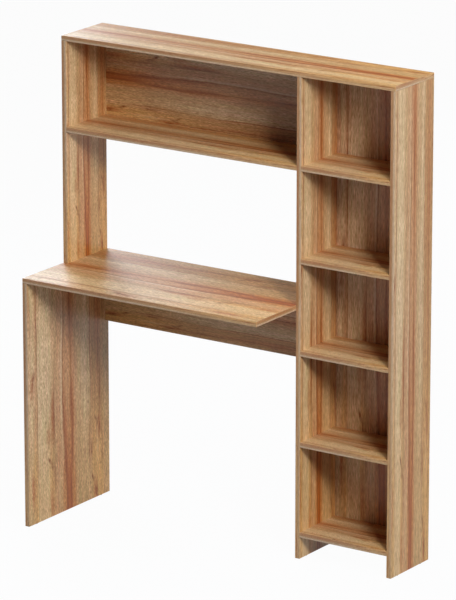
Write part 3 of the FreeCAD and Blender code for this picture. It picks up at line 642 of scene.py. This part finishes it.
class DESK_OT_hutch_back(bpy.types.Operator):
    """Print the front of the thin hutch back and leave its rear and edges as raw fibreboard"""

    bl_idname = "desk.hutch_back"
    bl_label = "Hutch back"

    def execute(self, context):
        scene = context.scene
        group = wood_print(scene.desk_print)
        # Hardboard sheet, printed in front and raw behind: the rear is brown felted fibre with short flecks.
        material, tree = new_material("printed_hardboard_hutch_back")
        # The back's tint is painted cool shade: the printed front is greyer and darker.
        face, grain_height = printed(tree, group, "hutch_back", LEFT, DOWN, HUTCH_BACK, BACK_COOL_SHADE_TINT)
        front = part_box("hutch_back")[0].y
        where = add(tree, "ShaderNodeTexCoord")
        place = add(tree, "ShaderNodeSeparateXYZ", {"Vector": where.outputs["Object"]})
        behind = add(tree, "ShaderNodeMath", {
            0: place.outputs["Y"], 1: front + scene.desk_finish.facing_depth}, operation="GREATER_THAN")
        fleck = add(tree, "ShaderNodeTexNoise", {
            "Vector": where.outputs["Object"], "Scale": 1 / (1.5 * MM), "Detail": 3.0})
        cloud = add(tree, "ShaderNodeTexNoise", {
            "Vector": where.outputs["Object"], "Scale": 1 / (60 * MM), "Detail": 2.0})
        both = add(tree, "ShaderNodeMath", {0: fleck.outputs[0], 1: cloud.outputs[0]}, operation="ADD")
        shade = add(tree, "ShaderNodeMapRange", {
            "Value": both.outputs[0], "From Min": 0.6, "From Max": 1.4, "To Min": 0.78, "To Max": 1.22})
        fibre = add(tree, "ShaderNodeVectorMath", {0: scene.desk_finish.fibre, "Scale": shade.outputs[0]},
                    operation="SCALE")
        faced_board(
            tree, behind.outputs[0], face, grain_height, fibre.outputs[0], fleck.outputs[0], FELTED)
        dress("hutch_back", material)
        return {"FINISHED"}


class DESK_OT_edge_bands(bpy.types.Operator):
    """Print the 2 mm edge bands, a part of the sheet across each band"""

    bl_idname = "desk.edge_bands"
    bl_label = "Edge bands"

    def execute(self, context):
        group = wood_print(context.scene.desk_print)
        for node_name, grain, across in EDGE_BANDS:
            # Extruded ABS edge band with the same print, slightly glossier than the boards, rounded corners.
            material, tree = new_material(f"printed_abs_edge_{node_name}")
            # The edge tint paints cool light from the front: the print is bluer on the bands.
            face, grain_height = printed(tree, group, node_name, grain, across, EDGE, EDGE_COOL_LIGHT_TINT)
            gloss = add(tree, "ShaderNodeMapRange", {"Value": grain_height, "To Min": 0.42, "To Max": 0.33})
            bump = add(tree, "ShaderNodeBump", {
                "Height": grain_height, "Strength": 0.2, "Distance": 0.1 * MM})
            shader = add(tree, "ShaderNodeBsdfPrincipled", {
                "Base Color": face, "Roughness": gloss.outputs[0], "IOR": 1.53, "Normal": bump.outputs[0]})
            add(tree, "ShaderNodeOutputMaterial", {"Surface": shader.outputs[0]})
            dress(node_name, material)
        return {"FINISHED"}


class DESK_OT_cam_locks(bpy.types.Operator):
    """Cast zinc on the cam locks"""

    bl_idname = "desk.cam_locks"
    bl_label = "Cam locks"

    def execute(self, context):
        # Die-cast zinc, tumbled: a dull grey metal with a fine cast skin that breaks up its shine.
        material, tree = new_material("die_cast_zinc_cam_locks")
        where = add(tree, "ShaderNodeTexCoord")
        skin = add(tree, "ShaderNodeTexNoise", {
            "Vector": where.outputs["Object"], "Scale": 1 / (0.8 * MM), "Detail": 2.0})
        cloud = add(tree, "ShaderNodeTexNoise", {
            "Vector": where.outputs["Object"], "Scale": 1 / (5 * MM), "Detail": 1.0})
        shade = add(tree, "ShaderNodeMapRange", {"Value": cloud.outputs[0], "To Min": 0.75, "To Max": 1.1})
        colour = add(tree, "ShaderNodeVectorMath", {
            0: context.scene.desk_finish.zinc, "Scale": shade.outputs[0]}, operation="SCALE")
        gloss = add(tree, "ShaderNodeMapRange", {"Value": skin.outputs[0], "To Min": 0.35, "To Max": 0.6})
        bump = add(tree, "ShaderNodeBump", {"Height": skin.outputs[0], "Strength": 0.3, "Distance": 0.1 * MM})
        shader = add(tree, "ShaderNodeBsdfPrincipled", {
            "Base Color": colour.outputs[0], "Metallic": 1.0, "Roughness": gloss.outputs[0],
            "Normal": bump.outputs[0]})
        add(tree, "ShaderNodeOutputMaterial", {"Surface": shader.outputs[0]})
        dress("cam_locks", material)
        return {"FINISHED"}


class DESK_OT_steel_fittings(bpy.types.Operator):
    """Plated steel on the cam bolts, screws and nails"""

    bl_idname = "desk.steel_fittings"
    bl_label = "Steel fittings"

    def execute(self, context):
        # Steel, zinc plated: a bright silvery metal with faint cloudy patches from the plating bath.
        material, tree = new_material("zinc_plated_steel_fittings")
        where = add(tree, "ShaderNodeTexCoord")
        cloud = add(tree, "ShaderNodeTexNoise", {
            "Vector": where.outputs["Object"], "Scale": 1 / (3 * MM), "Detail": 2.0})
        shade = add(tree, "ShaderNodeMapRange", {"Value": cloud.outputs[0], "To Min": 0.8, "To Max": 1.1})
        colour = add(tree, "ShaderNodeVectorMath", {
            0: context.scene.desk_finish.steel, "Scale": shade.outputs[0]}, operation="SCALE")
        gloss = add(tree, "ShaderNodeMapRange", {"Value": cloud.outputs[0], "To Min": 0.22, "To Max": 0.42})
        shader = add(tree, "ShaderNodeBsdfPrincipled", {
            "Base Color": colour.outputs[0], "Metallic": 1.0, "Roughness": gloss.outputs[0]})
        add(tree, "ShaderNodeOutputMaterial", {"Surface": shader.outputs[0]})
        for node_name in STEEL_FITTINGS:
            dress(node_name, material)
        return {"FINISHED"}


class DESK_OT_dowels(bpy.types.Operator):
    """Turned beech on the wooden dowels"""

    bl_idname = "desk.dowels"
    bl_label = "Dowels"

    def execute(self, context):
        # Beech, turned and left raw: pale tan wood, matt, with the short brown flecks of its rays.
        material, tree = new_material("turned_beech_dowels")
        where = add(tree, "ShaderNodeTexCoord")
        fleck = add(tree, "ShaderNodeTexNoise", {
            "Vector": where.outputs["Object"], "Scale": 1 / (1.2 * MM), "Detail": 2.0})
        shade = add(tree, "ShaderNodeMapRange", {
            "Value": fleck.outputs[0], "From Min": 0.3, "From Max": 0.6, "To Min": 0.8, "To Max": 1.05})
        colour = add(tree, "ShaderNodeVectorMath", {
            0: context.scene.desk_finish.beech, "Scale": shade.outputs[0]}, operation="SCALE")
        shader = add(tree, "ShaderNodeBsdfPrincipled", {
            "Base Color": colour.outputs[0], "Roughness": 0.7, "IOR": 1.5})
        add(tree, "ShaderNodeOutputMaterial", {"Surface": shader.outputs[0]})
        dress("wooden_dowels", material)
        return {"FINISHED"}


class DESK_OT_glides(bpy.types.Operator):
    """Moulded plastic on the glides"""

    bl_idname = "desk.glides"
    bl_label = "Glides"

    def execute(self, context):
        # Polyethylene, moulded: dark brown and waxy, with a fine spark-eroded texture.
        material, tree = new_material("moulded_polyethylene_glides")
        where = add(tree, "ShaderNodeTexCoord")
        skin = add(tree, "ShaderNodeTexNoise", {
            "Vector": where.outputs["Object"], "Scale": 1 / (0.6 * MM), "Detail": 1.0})
        shade = add(tree, "ShaderNodeMapRange", {"Value": skin.outputs[0], "To Min": 0.85, "To Max": 1.15})
        colour = add(tree, "ShaderNodeVectorMath", {
            0: context.scene.desk_finish.glide, "Scale": shade.outputs[0]}, operation="SCALE")
        bump = add(tree, "ShaderNodeBump", {"Height": skin.outputs[0], "Strength": 0.3, "Distance": 0.1 * MM})
        shader = add(tree, "ShaderNodeBsdfPrincipled", {
            "Base Color": colour.outputs[0], "Roughness": 0.5, "IOR": 1.51, "Normal": bump.outputs[0]})
        add(tree, "ShaderNodeOutputMaterial", {"Surface": shader.outputs[0]})
        dress("glide_pads", material)
        return {"FINISHED"}


class DESK_OT_stage(bpy.types.Operator):
    """Lay the pale floor and set up the lights, the even surroundings and the camera"""

    bl_idname = "desk.stage"
    bl_label = "Stage"

    def execute(self, context):
        scene = context.scene
        studio = scene.desk_studio
        scene.view_settings.view_transform = "Standard"

        bpy.ops.object.select_all(action="DESELECT")
        bpy.ops.mesh.primitive_plane_add(size=FLOOR_SIZE, location=(0, 0, CAD_BOX[0][2]))
        floor = context.active_object
        floor.name = "studio_floor"
        # Painted studio floor: pale and matt, nearly white to the camera, with the desk's soft shadow on it.
        material, tree = new_material("matt_painted_floor")
        seen = add(tree, "ShaderNodeLightPath")
        camera_or_glossy = add(tree, "ShaderNodeMath", {
            0: seen.outputs["Is Camera Ray"], 1: seen.outputs["Is Glossy Ray"]}, operation="MAXIMUM")
        clear = add(tree, "ShaderNodeMath", {
            0: camera_or_glossy.outputs[0], 1: seen.outputs["Is Transmission Ray"]}, operation="MAXIMUM")
        share = add(tree, "ShaderNodeMath", {0: clear.outputs[0], 1: FLOOR_GLOW}, operation="MULTIPLY")
        paint = add(tree, "ShaderNodeBsdfDiffuse", {"Color": (*studio.floor_paint, 1)})
        dimmed = add(tree, "ShaderNodeMapRange", {
            "Value": seen.outputs["Is Glossy Ray"], "To Min": 1, "To Max": studio.mirrored_white})
        glow = add(tree, "ShaderNodeEmission", {"Color": (1, 1, 1, 1), "Strength": dimmed.outputs[0]})
        mixed = add(tree, "ShaderNodeMixShader", {
            0: share.outputs[0], 1: paint.outputs[0], 2: glow.outputs[0]})
        add(tree, "ShaderNodeOutputMaterial", {"Surface": mixed.outputs[0]})
        floor.data.materials.append(material)

        world = bpy.data.worlds.new("studio_surroundings")
        world.use_nodes = True
        tree = world.node_tree
        tree.nodes.clear()
        # Reflections show a low white backdrop all around and a dim room above it. The camera sees white all
        # the way up, and only the dim room lights the desk.
        seen = add(tree, "ShaderNodeLightPath")
        way = add(tree, "ShaderNodeTexCoord")
        rise = add(tree, "ShaderNodeSeparateXYZ", {"Vector": way.outputs["Generated"]})
        backdrop = add(tree, "ShaderNodeMapRange", {
            "Value": rise.outputs["Z"], "From Max": math.sin(studio.backdrop_top), "To Min": 1, "To Max": 0},
            interpolation_type="SMOOTHSTEP")
        mirrored = add(tree, "ShaderNodeMath", {
            0: seen.outputs["Is Glossy Ray"], 1: seen.outputs["Is Transmission Ray"]}, operation="MAXIMUM")
        reflected = add(tree, "ShaderNodeMath", {0: mirrored.outputs[0], 1: backdrop.outputs[0]},
                        operation="MULTIPLY")
        clear = add(tree, "ShaderNodeMath", {0: seen.outputs["Is Camera Ray"], 1: reflected.outputs[0]},
                    operation="MAXIMUM")
        even = add(tree, "ShaderNodeBackground", {
            "Color": (*studio.room_tint, 1), "Strength": studio.world_strength})
        dimmed = add(tree, "ShaderNodeMapRange", {
            "Value": seen.outputs["Is Glossy Ray"], "To Min": 1, "To Max": studio.mirrored_white})
        white = add(tree, "ShaderNodeBackground", {"Color": (1, 1, 1, 1), "Strength": dimmed.outputs[0]})
        mixed = add(tree, "ShaderNodeMixShader", {
            0: clear.outputs[0], 1: even.outputs[0], 2: white.outputs[0]})
        add(tree, "ShaderNodeOutputWorld", {"Surface": mixed.outputs[0]})
        scene.world = world

        # Softboxes at the front right and overhead light the desk and show in its gloss. Those at the rear
        # left and behind only light it. The satin tops mirror a cool panel at the rear left and a weak low
        # one beside it, which are for the gloss alone. Each has its use, its place, its aim and its size in
        # metres, and its power.
        lamps = (
            ("key_softbox", "both", (4.35, -3.27, 4.42), (0.0, 0.0, 0.75), (0.98, 1.89), studio.key_power),
            ("low_softbox", "both", (5.37, -2.85, 3.21), (0.0, 0.0, 0.75), (0.98, 0.98), studio.low_power),
            ("overhead_softbox", "both", (0.9, -0.3, 4.1), (0.1, -0.1, 1.0), (1.6, 1.6),
             studio.overhead_power),
            ("rear_softbox", "light", (-2.43, 1.70, 2.41), (-0.4, 0.0, 1.0), (0.88, 0.6), studio.rear_power),
            ("behind_softbox", "light", (-0.9, 5.0, 1.6), (-0.2, 0.0, 0.8), (1.5, 1.5), studio.behind_power),
            ("sheen_panel", "gloss", (-2.43, 1.70, 2.41), (-0.4, 0.0, 1.0), (0.88, 0.6), studio.sheen_power),
            ("glow_panel", "gloss", (-2.07, 2.47, 1.31), (-0.4, 0.0, 1.0), (0.44, 0.6), studio.glow_power),
        )
        for name, use, stand, target, size, power in lamps:
            lamp = bpy.data.lights.new(name, "AREA")
            lamp.shape = "RECTANGLE"
            lamp.size = size[0]
            lamp.size_y = size[1]
            lamp.energy = power
            if use == "gloss":
                lamp.color = studio.sheen_tint
            holder = bpy.data.objects.new(name, lamp)
            holder.visible_diffuse = use != "gloss"
            holder.visible_glossy = use != "light"
            holder.location = stand
            holder.rotation_euler = (Vector(target) - Vector(stand)).to_track_quat("-Z", "Y").to_euler()
            scene.collection.objects.link(holder)

        lens = bpy.data.cameras.new("studio_camera")
        lens.sensor_fit = "VERTICAL"
        lens.sensor_height = SENSOR_HEIGHT
        lens.lens = studio.lens
        lens.clip_end = CAMERA_REACH
        camera = bpy.data.objects.new("studio_camera", lens)
        camera.location = studio.camera_place
        camera.rotation_euler = Euler((math.pi / 2 - studio.camera_elevation, 0, studio.camera_azimuth))
        scene.collection.objects.link(camera)
        scene.camera = camera
        return {"FINISHED"}


class DESK_PT_finishes(bpy.types.Panel):
    """Lists the settings and the steps"""

    bl_idname = "DESK_PT_finishes"
    bl_label = "Student desk with hutch"
    bl_space_type = "VIEW_3D"
    bl_region_type = "UI"
    bl_category = "Desk"

    def draw(self, context):
        for settings in (context.scene.desk_print, context.scene.desk_finish, context.scene.desk_studio):
            column = self.layout.column()
            for name in settings.__annotations__:
                column.prop(settings, name)
        for step in STEPS:
            self.layout.operator(step.bl_idname)


GROUPS = {"desk_print": DeskPrint, "desk_finish": DeskFinish, "desk_studio": DeskStudio}
STEPS = (
    DESK_OT_boards,
    DESK_OT_hutch_back,
    DESK_OT_edge_bands,
    DESK_OT_cam_locks,
    DESK_OT_steel_fittings,
    DESK_OT_dowels,
    DESK_OT_glides,
    DESK_OT_stage,
)


def register():
    for kind in (*GROUPS.values(), *STEPS, DESK_PT_finishes):
        bpy.utils.register_class(kind)
    for name, kind in GROUPS.items():
        setattr(bpy.types.Scene, name, bpy.props.PointerProperty(type=kind))


def unregister():
    for name in GROUPS:
        delattr(bpy.types.Scene, name)
    for kind in reversed((*GROUPS.values(), *STEPS, DESK_PT_finishes)):
        bpy.utils.unregister_class(kind)


def main():
    register()
    bpy.ops.desk.boards()
    bpy.ops.desk.hutch_back()
    bpy.ops.desk.edge_bands()
    bpy.ops.desk.cam_locks()
    bpy.ops.desk.steel_fittings()
    bpy.ops.desk.dowels()
    bpy.ops.desk.glides()
    bpy.ops.desk.stage()


if __name__ == "__main__":
    main()
